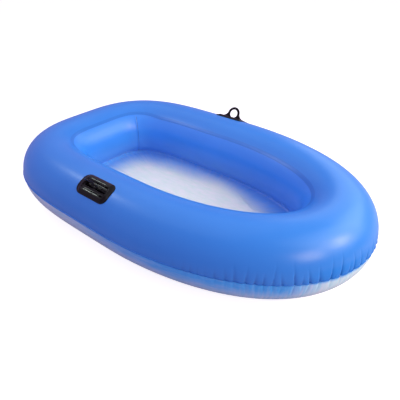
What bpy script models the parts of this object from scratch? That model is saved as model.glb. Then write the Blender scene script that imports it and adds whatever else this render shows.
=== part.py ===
"""Small inflatable boat for one child: a blue PVC tube with a cockpit, a clear
bottom sheet and a moulded ring for an oar on each side. Metres, +Z up, bow to +X.
The origin is on the ground under the middle of the boat."""
import math

import bmesh
import bpy
import numpy as np
from mathutils import Matrix, Vector

# Hull, inflated
LENGTH = 1.370               # over the tube, without the weld edge
BEAM = 0.882
TUBE_DIAMETER = 0.2425
BOW_ROUNDNESS = 2.03         # exponent of the cockpit's plan curve: 2 is an ellipse
STERN_SQUARENESS = 5.1       # the same at the stern: larger is squarer
FLAT_HALF_ANGLE = 9.5        # degrees of the tube's section that lie flat on the ground
TOP_SEAM_ANGLE = 138.7       # where the top film ends, from the outer seam over the top
FLOOR_SEAM_ANGLE = 124.1     # where the floor starts, from the outer seam under the tube

# Films and welds
FILM = 0.00035
WELD_GAP = 0.0003            # between films that are welded in the real boat
WELD_EDGE = 0.003            # width of the outer seam's flat edge
TOP_LAP = 0.012              # the wall band runs up this far under the top film
FLOOR_LAP = 0.006            # and down this far on the bottom sheet
FLOOR_REST_HEIGHT = 0.0008   # underside of the slack floor over the ground
FLOOR_SLOPE_WIDTH = 0.075    # the floor comes down to the ground over this width

# Resolution of the swept films
STATIONS = 56
TOP_STEPS = 9
WALL_STEPS = 7
BOTTOM_STEPS = 6
SLOPE_RINGS = (0.3, 0.6)     # shares of the slope's width that carry a ring of points
FLOOR_RINGS = (0.86, 0.62, 0.34)   # the same inside it, as shares of the plan curve
TRIAL_STEPS = 2000           # fine steps that even out the stations
CORNER_STEPS = 6
FLARE_STEPS = 7
CROWN_STEPS = 18
HOLE_STEPS = 28
BEAD_STEPS = 16
ROUND_STEPS = 32

# Oarlocks
OARLOCK_X = -0.071
OARLOCK_TILT = 29.0          # degrees outwards from straight up
BASE_LENGTH = 0.143
BASE_WIDTH = 0.077
BASE_CORNER = 0.029
BASE_THICKNESS = 0.0017
BASE_EDGE = 0.0007
RIM_INSET = 0.011            # flat flange outside the raised rim
RIM_WIDTH = 0.0085
RIM_HEIGHT = 0.0068
RIM_SECTION = (              # shares of the rim's width and height, from outside inwards
    (0.0, 0.0), (0.16, 0.70), (0.32, 0.96), (0.50, 1.0), (0.70, 0.92), (0.86, 0.62), (1.0, 0.0),
)
PANEL_BREAK = 0.45           # where the panel inside the rim has its middle ring of points
PANEL_HALF_MIDDLE = 0.001    # half width of the slim face that closes the panel
SMALLEST_CORNER = 0.0015
RING_HOLE_DIAMETER = 0.041
RING_WALL = 0.0062
RING_CENTRE_HEIGHT = 0.030   # over the film
RING_THICKNESS = 0.0054
RING_EDGE_ROUNDING = 0.0012
RING_FOOT_FLARE = 0.0295     # radius of the concave flares beside the ring
ROOT_RADIUS = 0.003          # the round bead that the ring turns on
RING_DEPTH_IN_ROOT = 0.6     # the ring's plate ends this share of the bead's radius below its axis
SEAT_GAP = 0.0003
ROOT_END_GAP = 0.0004

# Valve on the inner wall
VALVE_X = 0.0
FLANGE_RADIUS = 0.020
FLANGE_THICKNESS = 0.0012
SLEEVE_WALL = 0.0012
SLEEVE_LENGTH = 0.014
STEM_RADIUS = 0.0063
STEM_BORE = 0.0045
STEM_TRAVEL = 0.012
COLLAR_RADIUS = 0.0085
COLLAR_THICKNESS = 0.002
STEM_LIP_WIDTH = 0.0011
STEM_LIP_LENGTH = 0.0012
CAP_THICKNESS = 0.0016
PLUG_LENGTH = 0.005
PLUG_TAPER = 0.0012
HINGE_OFFSET = 0.013         # from the stem's axis up to the cap's hinge
HINGE_BARREL = 0.001
STRAP_WIDTH = 0.006
STRAP_THICKNESS = 0.0012
STRAP_LIFT = 0.0001          # the strap's back over the disc's back
TONGUE_MARGIN = 0.0005
FLAP_THICKNESS = 0.0008
FLAP_MARGIN = 0.0015         # the flap is this much wider than the bore it covers
RUNNING_GAP = 0.0003

TUBE_RADIUS = TUBE_DIAMETER / 2
COCKPIT_LENGTH = LENGTH / 2 - TUBE_DIAMETER
COCKPIT_WIDTH = BEAM / 2 - TUBE_DIAMETER
TUBE_CENTRE = TUBE_RADIUS * math.cos(math.radians(FLAT_HALF_ANGLE))


def clear_scene():
    """Start from nothing."""
    for old in list(bpy.data.objects):
        bpy.data.objects.remove(old, do_unlink=True)


def material(name, colour, roughness, alpha=1.0):
    """A plain plastic finish."""
    finish = bpy.data.materials.new(name)
    finish.use_nodes = True
    shader = finish.node_tree.nodes["Principled BSDF"]
    shader.inputs["Base Color"].default_value = (*colour, 1.0)
    shader.inputs["Roughness"].default_value = roughness
    shader.inputs["Metallic"].default_value = 0.0
    shader.inputs["Alpha"].default_value = alpha
    return finish


def finish_object(bm, name, finish, smooth_angle=35.0):
    """Turn a bmesh into a named object with smooth round faces."""
    bmesh.ops.recalc_face_normals(bm, faces=bm.faces)
    mesh = bpy.data.meshes.new(name)
    bm.to_mesh(mesh)
    bm.free()
    mesh.materials.append(finish)
    mesh.shade_smooth()
    mesh.set_sharp_from_angle(angle=math.radians(smooth_angle))
    obj = bpy.data.objects.new(name, mesh)
    bpy.context.scene.collection.objects.link(obj)
    return obj


def boolean(obj, other, operation):
    """Cut or join with another solid, which stays as a hidden guide."""
    other.hide_render = True
    other.display_type = "WIRE"
    step = obj.modifiers.new(operation.title(), "BOOLEAN")
    step.operation = operation
    step.object = other


# Plan curve of the cockpit

def plan_power(x):
    """Exponent of the plan curve on this half of the boat."""
    return BOW_ROUNDNESS if x > 0 else STERN_SQUARENESS


def plan_normal(x, y):
    """Outward normal of the cockpit's plan curve at one of its points."""
    power = plan_power(x)
    slope_x = math.copysign(abs(x / COCKPIT_LENGTH) ** (power - 1) / COCKPIT_LENGTH, x)
    slope_y = math.copysign(abs(y / COCKPIT_WIDTH) ** (power - 1) / COCKPIT_WIDTH, y)
    return Vector((slope_x, slope_y)).normalized()


def cockpit_point(angle):
    """Point and outward normal of the cockpit's plan curve at a polar angle."""
    cosine, sine = math.cos(angle), math.sin(angle)
    power = plan_power(cosine)
    reach = (abs(cosine / COCKPIT_LENGTH) ** power + abs(sine / COCKPIT_WIDTH) ** power) ** (-1 / power)
    x, y = reach * cosine, reach * sine
    return Vector((x, y)), plan_normal(x, y)


def spaced_stations(count):
    """Points of the plan curve whose outer edge is evenly spaced."""
    trial_angles = np.linspace(0.0, 2 * math.pi, TRIAL_STEPS + 1)
    outer = []
    for angle in trial_angles:
        point, normal = cockpit_point(angle)
        outer.append(point + normal * TUBE_DIAMETER)
    steps = [0.0] + [(b - a).length for a, b in zip(outer, outer[1:])]
    run = np.cumsum(steps)
    wanted = np.linspace(0.0, run[-1], count + 1)[:-1]
    return [cockpit_point(angle) for angle in np.interp(wanted, run, trial_angles)]


def cockpit_side(x):
    """Half width of the cockpit at a place along the boat."""
    power = plan_power(x)
    return COCKPIT_WIDTH * (1 - abs(x / COCKPIT_LENGTH) ** power) ** (1 / power)


# Swept films

def tube_place(angle_degrees, radius):
    """Distance outwards from the cockpit curve, and height, on the tube's section."""
    angle = math.radians(angle_degrees)
    return (TUBE_RADIUS + radius * math.cos(angle), TUBE_CENTRE + radius * math.sin(angle))


def ring_points(stations, outwards, height, share=1.0):
    """One closed ring: the plan curve pushed outwards, or drawn in to a share of itself."""
    ring = []
    for point, normal in stations:
        place = point * share + normal * outwards
        ring.append((place.x, place.y, height))
    return ring


def skin_rings(bm, rings, closed_section):
    """Faces between neighbouring rings; an open section is capped at both ends."""
    loops = [[bm.verts.new(place) for place in ring] for ring in rings]
    pairs = list(zip(loops, loops[1:]))
    if closed_section:
        pairs.append((loops[-1], loops[0]))
    for first, second in pairs:
        for i in range(len(first)):
            j = (i + 1) % len(first)
            bm.faces.new((first[i], first[j], second[j], second[i]))
    if not closed_section:
        bm.faces.new(loops[0])
        bm.faces.new(loops[-1])


def spread(first, last, steps):
    """Evenly spaced angles, both ends included."""
    return [first + (last - first) * i / steps for i in range(steps + 1)]


def lap_angle(lap):
    """Degrees of the tube's section that a weld of this width takes."""
    return math.degrees(lap / TUBE_RADIUS)


def make_top_film(stations, finish):
    """Blue ring from the outer seam over the top to the inner seam."""
    lap_start = TOP_SEAM_ANGLE - lap_angle(TOP_LAP)
    angles = spread(0.0, lap_start, TOP_STEPS)[1:] + [TOP_SEAM_ANGLE]
    face = TUBE_CENTRE + WELD_GAP / 2
    outer = [(TUBE_DIAMETER + WELD_EDGE, face + FILM), (TUBE_DIAMETER, face + FILM)]
    outer += [tube_place(angle, TUBE_RADIUS) for angle in angles]
    inner = [(TUBE_DIAMETER + WELD_EDGE, face), (TUBE_DIAMETER - FILM, face)]
    inner += [tube_place(angle, TUBE_RADIUS - FILM) for angle in angles]
    bm = bmesh.new()
    section = outer + inner[::-1]
    skin_rings(bm, [ring_points(stations, *place) for place in section], closed_section=True)
    return finish_object(bm, "top_film", finish)


def make_wall_band(stations, finish):
    """Blue strip round the cockpit, lapped under the top film and onto the bottom sheet."""
    lap_start = TOP_SEAM_ANGLE - lap_angle(TOP_LAP)
    floor_seam = 360.0 - FLOOR_SEAM_ANGLE
    angles = [lap_start] + spread(TOP_SEAM_ANGLE, floor_seam, WALL_STEPS)
    angles += [floor_seam + lap_angle(FLOOR_LAP)]
    face = TUBE_RADIUS - FILM - WELD_GAP
    outer = [tube_place(angle, face) for angle in angles]
    inner = [tube_place(angle, face - FILM) for angle in angles]
    bm = bmesh.new()
    section = outer + inner[::-1]
    skin_rings(bm, [ring_points(stations, *place) for place in section], closed_section=True)
    return finish_object(bm, "wall_band", finish)


def floor_height(depth):
    """Height of the floor's underside at a distance inwards from its seam."""
    seam = tube_place(-FLOOR_SEAM_ANGLE, TUBE_RADIUS)[1]
    share = min(depth / FLOOR_SLOPE_WIDTH, 1.0)
    drop = 0.5 - 0.5 * math.cos(math.pi * share)
    return seam + (FLOOR_REST_HEIGHT - seam) * drop


def make_bottom_sheet(stations, finish):
    """One clear sheet: the tube's underside from the outer seam in, then the floor."""
    side_angles = spread(0.0, FLAT_HALF_ANGLE - 90.0, BOTTOM_STEPS)[1:]
    under_angles = [-90.0 - FLAT_HALF_ANGLE]
    seam_start = FLOOR_SEAM_ANGLE - lap_angle(FLOOR_LAP)
    under_angles += [-0.5 * (90.0 + FLAT_HALF_ANGLE + seam_start), -seam_start]
    angles = side_angles + under_angles + [-FLOOR_SEAM_ANGLE]
    face = TUBE_CENTRE - WELD_GAP / 2
    under = [(TUBE_DIAMETER + WELD_EDGE, face - FILM), (TUBE_DIAMETER, face - FILM)]
    under += [tube_place(angle, TUBE_RADIUS) for angle in angles]
    upper = [(TUBE_DIAMETER + WELD_EDGE, face), (TUBE_DIAMETER - FILM, face)]
    upper += [tube_place(angle, TUBE_RADIUS - FILM) for angle in angles]
    under_rings = [ring_points(stations, *place) for place in under]
    upper_rings = [ring_points(stations, *place) for place in upper]
    seam_out = tube_place(-FLOOR_SEAM_ANGLE, TUBE_RADIUS)[0]
    for share_of_slope in SLOPE_RINGS:
        depth = FLOOR_SLOPE_WIDTH * share_of_slope
        height = floor_height(depth)
        under_rings.append(ring_points(stations, seam_out - depth, height))
        upper_rings.append(ring_points(stations, seam_out - depth, height + FILM))
    for share in FLOOR_RINGS:
        depth = seam_out + COCKPIT_WIDTH * (1 - share)
        height = floor_height(depth)
        under_rings.append(ring_points(stations, 0.0, height, share))
        upper_rings.append(ring_points(stations, 0.0, height + FILM, share))
    bm = bmesh.new()
    skin_rings(bm, under_rings[::-1] + upper_rings, closed_section=False)
    return finish_object(bm, "bottom_sheet", finish)


# Oarlocks

def rounded_rectangle(half_length, half_width, corner):
    """Points round a rectangle with round corners."""
    points = []
    for quarter in range(4):
        side_x = 1 if quarter in (0, 3) else -1
        side_y = 1 if quarter in (0, 1) else -1
        for step in range(CORNER_STEPS + 1):
            angle = math.radians(90 * (quarter + step / CORNER_STEPS))
            x = side_x * (half_length - corner) + corner * math.cos(angle)
            y = side_y * (half_width - corner) + corner * math.sin(angle)
            points.append((x, y))
    return points


def oarlock_frame(side):
    """Where an oarlock stands on the tube: local Z points away from the tube's centre."""
    tilt = math.radians(OARLOCK_TILT)
    centre = Vector((OARLOCK_X, side * (cockpit_side(OARLOCK_X) + TUBE_RADIUS), TUBE_CENTRE))
    outward = Vector((0.0, side * math.sin(tilt), math.cos(tilt)))
    along = Vector((1.0, 0.0, 0.0))
    across = outward.cross(along)
    turn = Matrix((along, across, outward)).transposed().to_4x4()
    return Matrix.Translation(centre + outward * TUBE_RADIUS) @ turn


def bent_ring(half_length, half_width, corner, height):
    """A rounded rectangle laid on the tube at a height over the film."""
    radius = TUBE_RADIUS + height
    ring = []
    for x, y in rounded_rectangle(half_length, half_width, corner):
        angle = y / TUBE_RADIUS
        ring.append((x, radius * math.sin(angle), radius * math.cos(angle) - TUBE_RADIUS))
    return ring


def inset_ring(inset, height):
    """The base's outline drawn in by an inset."""
    corner = max(BASE_CORNER - inset, SMALLEST_CORNER)
    return bent_ring(BASE_LENGTH / 2 - inset, BASE_WIDTH / 2 - inset, corner, height)


def make_oarlock_base(name, side, finish):
    """Plate welded to the top film, with a raised rim round the ring's seat."""
    under = SEAT_GAP
    panel = under + BASE_THICKNESS
    crest = under + RIM_HEIGHT
    middle = BASE_WIDTH / 2 - PANEL_HALF_MIDDLE
    panel_edge = RIM_INSET + RIM_WIDTH
    inner_insets = [panel_edge + (middle - panel_edge) * share for share in (PANEL_BREAK, 1.0)]
    rings = [inset_ring(inset, under) for inset in (middle, inner_insets[0], RIM_INSET, 0.0)]
    rings.append(inset_ring(0.0, under + BASE_THICKNESS - BASE_EDGE))
    rings.append(inset_ring(BASE_EDGE, panel))
    for across, rise in RIM_SECTION:
        rings.append(inset_ring(RIM_INSET + RIM_WIDTH * across, panel + (crest - panel) * rise))
    rings += [inset_ring(inset, panel) for inset in inner_insets]
    bm = bmesh.new()
    skin_rings(bm, rings, closed_section=False)
    obj = finish_object(bm, name, finish)
    obj.matrix_world = oarlock_frame(side)
    return obj


def root_axis_height():
    """Height of the ring's turning axis over the film."""
    return SEAT_GAP + BASE_THICKNESS + SEAT_GAP + ROOT_RADIUS


def root_half_length():
    """Half the length of the ring's root, which fills the rim from end to end."""
    return BASE_LENGTH / 2 - RIM_INSET - RIM_WIDTH - ROOT_END_GAP


def ring_outline():
    """Bell-shaped outline of the ring plate, in its own plane, over the film."""
    outer = RING_HOLE_DIAMETER / 2 + RING_WALL
    low = root_axis_height() - ROOT_RADIUS * RING_DEPTH_IN_ROOT
    half = root_half_length()
    # The concave flare touches the ring from outside and the foot line from above.
    rise = RING_CENTRE_HEIGHT - low - RING_FOOT_FLARE
    flare_x = math.sqrt((outer + RING_FOOT_FLARE) ** 2 - rise ** 2)
    flare_height = low + RING_FOOT_FLARE
    touch = math.atan2(flare_height - RING_CENTRE_HEIGHT, flare_x)
    right = []
    reach = min(1.0, (flare_x - half) / RING_FOOT_FLARE)
    last = -math.acos(reach)
    for step in range(FLARE_STEPS + 1):
        angle = last + (touch - last) * step / FLARE_STEPS
        x = flare_x - RING_FOOT_FLARE * math.cos(angle)
        height = flare_height + RING_FOOT_FLARE * math.sin(angle)
        right.append((x, height))
    right = [(half, low)] + right[:-1]
    crown = []
    for step in range(CROWN_STEPS + 1):
        angle = touch + (math.pi - 2 * touch) * step / CROWN_STEPS
        crown.append((outer * math.cos(angle), RING_CENTRE_HEIGHT + outer * math.sin(angle)))
    left = [(-x, height) for x, height in right[::-1]]
    return right + crown + left


def add_loop(bm, points):
    """A closed loop of edges in the XZ plane."""
    verts = [bm.verts.new((x, 0.0, height)) for x, height in points]
    return [bm.edges.new((verts[i], verts[(i + 1) % len(verts)])) for i in range(len(verts))]


def make_oarlock_ring(name, side, finish):
    """The moulded ring that holds an oar, with the round root that it turns on."""
    axis = root_axis_height()
    radius = RING_HOLE_DIAMETER / 2
    hole = []
    for step in range(HOLE_STEPS):
        angle = 2 * math.pi * step / HOLE_STEPS
        hole.append((radius * math.cos(angle), RING_CENTRE_HEIGHT + radius * math.sin(angle)))
    bm = bmesh.new()
    outline = [(x, height - axis) for x, height in ring_outline()]
    edges = add_loop(bm, outline)
    edges += add_loop(bm, [(x, height - axis) for x, height in hole])
    bmesh.ops.triangle_fill(bm, use_beauty=True, use_dissolve=False, edges=edges)
    bmesh.ops.translate(bm, verts=bm.verts, vec=(0.0, -RING_THICKNESS / 2, 0.0))
    sheet = bmesh.ops.extrude_face_region(bm, geom=bm.faces[:])
    moved = [item for item in sheet["geom"] if isinstance(item, bmesh.types.BMVert)]
    bmesh.ops.translate(bm, verts=moved, vec=(0.0, RING_THICKNESS, 0.0))
    ring = finish_object(bm, name, finish)
    bevel = ring.modifiers.new("Rounded edges", "BEVEL")
    bevel.width = RING_EDGE_ROUNDING
    bevel.segments = 1
    bevel.limit_method = "ANGLE"
    bevel.angle_limit = math.radians(50)

    root = bmesh.new()
    bmesh.ops.create_cone(
        root, cap_ends=True, segments=BEAD_STEPS, radius1=ROOT_RADIUS, radius2=ROOT_RADIUS,
        depth=2 * root_half_length(), matrix=Matrix.Rotation(math.pi / 2, 4, "Y"),
    )
    guide = finish_object(root, name + "_root", finish)
    boolean(ring, guide, "UNION")
    place = oarlock_frame(side) @ Matrix.Translation((0.0, 0.0, axis))
    ring.matrix_world = place
    guide.matrix_world = place
    return ring


# Valve

def valve_frame(stations):
    """Valve axes: local Z points into the cockpit, local Y up; Z = 0 is the flange's back."""
    side = -cockpit_side(VALVE_X)
    normal = plan_normal(VALVE_X, side)
    out = Vector((-normal.x, -normal.y, 0.0))
    up = Vector((0.0, 0.0, 1.0))
    along = up.cross(out)
    middle = Vector((VALVE_X, side, TUBE_CENTRE))
    # The wall is flat between stations, so it stands a little inside its curve.
    places = [Vector((point.x, point.y, TUBE_CENTRE)) - middle for point, _ in stations if point.y < 0]
    line = sorted((place.dot(along), place.dot(out)) for place in places)
    edges = np.interp((-FLANGE_RADIUS, FLANGE_RADIUS), [t for t, _ in line], [d for _, d in line])
    back = middle + out * (float(max(edges)) - FILM - WELD_GAP + SEAT_GAP)
    turn = Matrix((along, up, out)).transposed().to_4x4()
    return Matrix.Translation(back) @ turn


def turned(profile):
    """Closed solid of revolution round local Z from (radius, height) points."""
    bm = bmesh.new()
    verts = [bm.verts.new((radius, 0.0, height)) for radius, height in profile]
    edges = [bm.edges.new((verts[i], verts[(i + 1) % len(verts)])) for i in range(len(verts))]
    bmesh.ops.spin(
        bm, geom=verts + edges, cent=(0, 0, 0), axis=(0, 0, 1), angle=2 * math.pi,
        steps=ROUND_STEPS, use_merge=True,
    )
    bmesh.ops.remove_doubles(bm, verts=bm.verts, dist=0.00001)
    return bm


def box(size, centre):
    """A plain block as a bmesh."""
    bm = bmesh.new()
    bmesh.ops.create_cube(bm, size=1.0, matrix=Matrix.Translation(centre) @ Matrix.Diagonal((*size, 1.0)))
    return bm


SLEEVE_BORE = STEM_RADIUS + RUNNING_GAP
SLEEVE_RADIUS = SLEEVE_BORE + SLEEVE_WALL
COLLAR_BACK = FLANGE_THICKNESS + RUNNING_GAP
COLLAR_FRONT = COLLAR_BACK + COLLAR_THICKNESS
STEM_END = -(SLEEVE_LENGTH + STEM_TRAVEL + RUNNING_GAP + STEM_LIP_LENGTH)
CAP_BACK = COLLAR_FRONT + RUNNING_GAP
HINGE_DEPTH = CAP_BACK + CAP_THICKNESS / 2
TONGUE_FRONT = HINGE_DEPTH - HINGE_BARREL - RUNNING_GAP


def make_valve_flange(frame, finish):
    """Disc welded to the wall band, with the sleeve that the stem slides in."""
    profile = [
        (SLEEVE_BORE, -SLEEVE_LENGTH), (SLEEVE_RADIUS, -SLEEVE_LENGTH), (SLEEVE_RADIUS, 0.0),
        (FLANGE_RADIUS, 0.0), (FLANGE_RADIUS, FLANGE_THICKNESS / 2),
        (FLANGE_RADIUS - FLANGE_THICKNESS / 2, FLANGE_THICKNESS), (SLEEVE_BORE, FLANGE_THICKNESS),
    ]
    flange = finish_object(turned(profile), "valve_flange", finish)
    flange.matrix_world = frame
    return flange


def make_valve_stem(frame, finish):
    """Tube that is pulled out to blow the boat up and pushed in to lie flush."""
    lip = STEM_RADIUS + STEM_LIP_WIDTH
    profile = [
        (STEM_BORE, STEM_END), (lip, STEM_END), (lip, STEM_END + STEM_LIP_LENGTH),
        (STEM_RADIUS, STEM_END + STEM_LIP_LENGTH), (STEM_RADIUS, COLLAR_BACK),
        (COLLAR_RADIUS, COLLAR_BACK), (COLLAR_RADIUS, COLLAR_FRONT), (STEM_BORE, COLLAR_FRONT),
    ]
    stem = finish_object(turned(profile), "valve_stem", finish)
    inside = (STEM_RADIUS + COLLAR_RADIUS) / 2
    reach = HINGE_OFFSET + HINGE_BARREL + TONGUE_MARGIN
    size = (STRAP_WIDTH + 2 * TONGUE_MARGIN, reach - inside, TONGUE_FRONT - COLLAR_BACK)
    centre = (0.0, (reach + inside) / 2, (TONGUE_FRONT + COLLAR_BACK) / 2)
    tongue = finish_object(box(size, centre), "valve_stem_tongue", finish)
    boolean(stem, tongue, "UNION")
    stem.matrix_world = frame
    tongue.matrix_world = frame
    return stem


def make_valve_cap(frame, finish):
    """Plug on a disc, with the strap that it swings on."""
    plug_root = STEM_BORE - RUNNING_GAP
    plug_tip = plug_root - PLUG_TAPER
    front = CAP_BACK + CAP_THICKNESS
    profile = [
        (0.0, CAP_BACK - PLUG_LENGTH), (plug_tip, CAP_BACK - PLUG_LENGTH), (plug_root, CAP_BACK),
        (COLLAR_RADIUS, CAP_BACK), (COLLAR_RADIUS, front - CAP_THICKNESS / 3),
        (COLLAR_RADIUS - CAP_THICKNESS / 3, front), (0.0, front),
    ]
    hinge = Matrix.Translation((0.0, -HINGE_OFFSET, -HINGE_DEPTH))
    bm = turned(profile)
    bmesh.ops.transform(bm, matrix=hinge, verts=bm.verts)
    cap = finish_object(bm, "valve_cap", finish)
    strap_start = -HINGE_OFFSET + (STEM_BORE + COLLAR_RADIUS) / 2
    strap_back = CAP_BACK + STRAP_LIFT - HINGE_DEPTH
    size = (STRAP_WIDTH, -strap_start, STRAP_THICKNESS)
    strap = finish_object(
        box(size, (0.0, strap_start / 2, strap_back + STRAP_THICKNESS / 2)), "valve_cap_strap", finish,
    )
    barrel = bmesh.new()
    bmesh.ops.create_cone(
        barrel, cap_ends=True, segments=BEAD_STEPS, radius1=HINGE_BARREL, radius2=HINGE_BARREL,
        depth=STRAP_WIDTH - TONGUE_MARGIN, matrix=Matrix.Rotation(math.pi / 2, 4, "Y"),
    )
    knuckle = finish_object(barrel, "valve_cap_knuckle", finish)
    place = frame @ hinge.inverted()
    for guide in (strap, knuckle):
        boolean(cap, guide, "UNION")
        guide.matrix_world = place
    cap.matrix_world = place
    return cap


def make_valve_flap(frame, finish):
    """Thin disc that closes the stem's inner end against the air in the tube."""
    radius = STEM_BORE + FLAP_MARGIN
    bm = bmesh.new()
    bmesh.ops.create_cone(
        bm, cap_ends=True, segments=ROUND_STEPS, radius1=radius, radius2=radius,
        depth=FLAP_THICKNESS, matrix=Matrix.Translation((0.0, -radius, -FLAP_THICKNESS / 2)),
    )
    flap = finish_object(bm, "valve_flap", finish)
    flap.matrix_world = frame @ Matrix.Translation((0.0, radius, STEM_END - RUNNING_GAP))
    return flap


def cut_wall_for_valve(wall, frame):
    """Round hole in the wall band for the valve's sleeve."""
    bm = bmesh.new()
    radius = SLEEVE_RADIUS + SEAT_GAP
    bmesh.ops.create_cone(
        bm, cap_ends=True, segments=ROUND_STEPS, radius1=radius, radius2=radius, depth=SLEEVE_LENGTH,
    )
    cutter = finish_object(bm, "valve_hole", wall.data.materials[0])
    cutter.matrix_world = frame
    boolean(wall, cutter, "DIFFERENCE")


def main():
    clear_scene()
    blue_film = material("Blue PVC film", (0.035, 0.24, 0.80), 0.30)
    wall_film = material("Blue PVC wall film", (0.03, 0.15, 0.66), 0.35)
    clear_film = material("Clear PVC film", (0.80, 0.87, 0.95), 0.15, alpha=0.35)
    black_vinyl = material("Black moulded PVC", (0.01, 0.01, 0.012), 0.25)
    valve_vinyl = material("Clear soft PVC", (0.75, 0.82, 0.88), 0.30, alpha=0.6)

    stations = spaced_stations(STATIONS)
    make_top_film(stations, blue_film)
    wall = make_wall_band(stations, wall_film)
    make_bottom_sheet(stations, clear_film)
    for side, side_name in ((1, "port"), (-1, "starboard")):
        make_oarlock_base("oarlock_base_" + side_name, side, black_vinyl)
        make_oarlock_ring("oarlock_ring_" + side_name, side, black_vinyl)
    frame = valve_frame(stations)
    cut_wall_for_valve(wall, frame)
    make_valve_flange(frame, valve_vinyl)
    make_valve_stem(frame, valve_vinyl)
    make_valve_cap(frame, valve_vinyl)
    make_valve_flap(frame, valve_vinyl)


main()
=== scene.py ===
import math

import bmesh
import bpy
import numpy as np
from mathutils import Matrix, Vector, noise


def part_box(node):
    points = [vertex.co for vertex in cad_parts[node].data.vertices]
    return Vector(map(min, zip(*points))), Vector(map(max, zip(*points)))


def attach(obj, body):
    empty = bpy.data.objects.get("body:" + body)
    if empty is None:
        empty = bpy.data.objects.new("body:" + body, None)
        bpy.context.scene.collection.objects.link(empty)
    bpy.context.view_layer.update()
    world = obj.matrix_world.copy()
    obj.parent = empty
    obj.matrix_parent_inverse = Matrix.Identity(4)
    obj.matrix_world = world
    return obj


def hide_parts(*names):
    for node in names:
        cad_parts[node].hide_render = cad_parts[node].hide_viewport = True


# Looks of a small inflatable boat: welded PVC films with their creases, moulded oarlocks,
# the valve, soft studio light and the camera. Metres, bow to +X, near side to -Y.

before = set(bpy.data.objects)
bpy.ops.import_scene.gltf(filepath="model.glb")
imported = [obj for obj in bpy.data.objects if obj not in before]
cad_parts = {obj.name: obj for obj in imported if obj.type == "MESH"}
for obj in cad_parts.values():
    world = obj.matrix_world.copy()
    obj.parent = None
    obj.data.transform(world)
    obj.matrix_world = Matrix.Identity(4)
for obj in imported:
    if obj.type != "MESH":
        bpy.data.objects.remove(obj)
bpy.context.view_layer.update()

# Hull, from the frame and the same seams as the solids have
WELD_EDGE = 0.003
WELD_GAP = 0.0003
FILM = 0.00035
TUBE_RADIUS = 0.12125
BOW_ROUNDNESS = 2.03
STERN_SQUARENESS = 5.1
TOP_SEAM = math.radians(138.7)
FLOOR_SEAM = math.radians(124.1)
TOP_LAP = 0.012
FLOOR_LAP = 0.006
GROUND_GAP = 0.0002
film_low, film_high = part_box("top_film")
TUBE_CENTRE = film_low.z - WELD_GAP / 2
COCKPIT_LENGTH = film_high.x - WELD_EDGE - 2 * TUBE_RADIUS
COCKPIT_WIDTH = film_high.y - WELD_EDGE - 2 * TUBE_RADIUS

# Stations round the boat, from samples of its plan curve whose bend is averaged
CURVE_SAMPLES = 6000
BEND_SAMPLES = 121
FILM_STATIONS = 1200
FLOOR_STATIONS = 520

# Creases across the outer seam: deep ones round the bow, fine ones in the weld itself
CREASE_SPACING = 0.0265
CREASE_DEPTH = 0.0060
CREASE_WIDTH = 0.0034
CREASE_LENGTH = 0.060
RIB_SPACING = 0.0115
RIB_DEPTH = 0.0016
RIB_WIDTH = 0.0026
RIB_LENGTH = 0.011
WIDEST_CREASE = 0.03

# Outer weld: its face, the swell of the film over it and the bend into its flat edge
WELD_WIDTH = 0.008
PILLOW = 0.0006
PILLOW_REACH = 0.03
LIP_REACH = 0.004

# Inner weld: it climbs across the stern, and its band stands a little proud
SEAM_RISE_AT_STERN = math.radians(8.0)
SEAM_RISE_START = 1.2
TOP_FILM_END = TOP_SEAM - 0.07
INNER_WELD_FADE = 0.012
INNER_WELD_RISE = 0.00010
INNER_WELD_SINK = 0.00003

# Upright lap of the wall film at the far stern corner
LAP_PLACE = (-0.432, 0.1485)
LAP_RISE = 0.0014
LAP_WIDTH = 0.024
LAP_WAVER = 0.004

# Floor film: its level and slope, and its weld to the wall, which is given as an angle
# below the tube's centre and a depth inside the tube's surface
FLOOR_HEIGHT = 0.0008
FLOOR_SLOPE = 0.075
FLOOR_HANG = math.radians(50.2)
HANG_INSIDE = 0.0013
FLOOR_RINGS = 46
# Its slack: gathers round the seam, fine wrinkles, broad waves and one long fold
GATHER_HEIGHT = 0.003
GATHER_REACH = 0.05
WRINKLE_HEIGHT = 0.0008
WAVE_HEIGHT = 0.0018
SLACK_REACH = 0.03
FOLD_START = (0.105, 0.182)
FOLD_END = (0.212, 0.121)
FOLD_HEIGHT = 0.0080
FOLD_REACH = 0.075
FOLD_WIDTH = 0.0050
# Painted shade and blue light from the wall on the floor film, where it hangs clear of the ground:
# full up to one distance from the seam, gone at another
TINT_AT_X = (-0.4425, -0.40, -0.20, 0.0, 0.10, 0.25)
TINT_FULL = (0.004, 0.012, 0.0, 0.0, 0.01, 0.02)
TINT_GONE = (0.070, 0.100, 0.108, 0.075, 0.086, 0.105)

# Oarlock bases
OARLOCK_TILT = math.radians(29.0)
SEAT_GAP = 0.0003
BASE_LENGTH = 0.143
BASE_WIDTH = 0.077
BASE_CORNER = 0.024
OUTLINE_STEPS = 14
LEAST_CORNER = 0.0004
BASE_THICKNESS = 0.0017
EDGE_ROUNDING = 0.0011
RIM_HEIGHT = 0.0068
# Rise of the rim, by distance in from the edge: a swell, a sloping crest and a steep drop
RIM_INSETS = (0.0015, 0.0045, 0.0085, 0.0115, 0.0130, 0.0172, 0.0195)
RIM_RISES = (0.0, 0.45, 0.86, 1.0, 0.97, 0.76, 0.0)
RIM_START = RIM_INSETS[0]
RIM_END = RIM_INSETS[-1]
RIM_BROADENING = 0.0045
RIDGE_HEIGHT = 0.0021
RIDGE_PLACE = 0.0062
RIDGE_WIDTH = 0.0017

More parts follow.
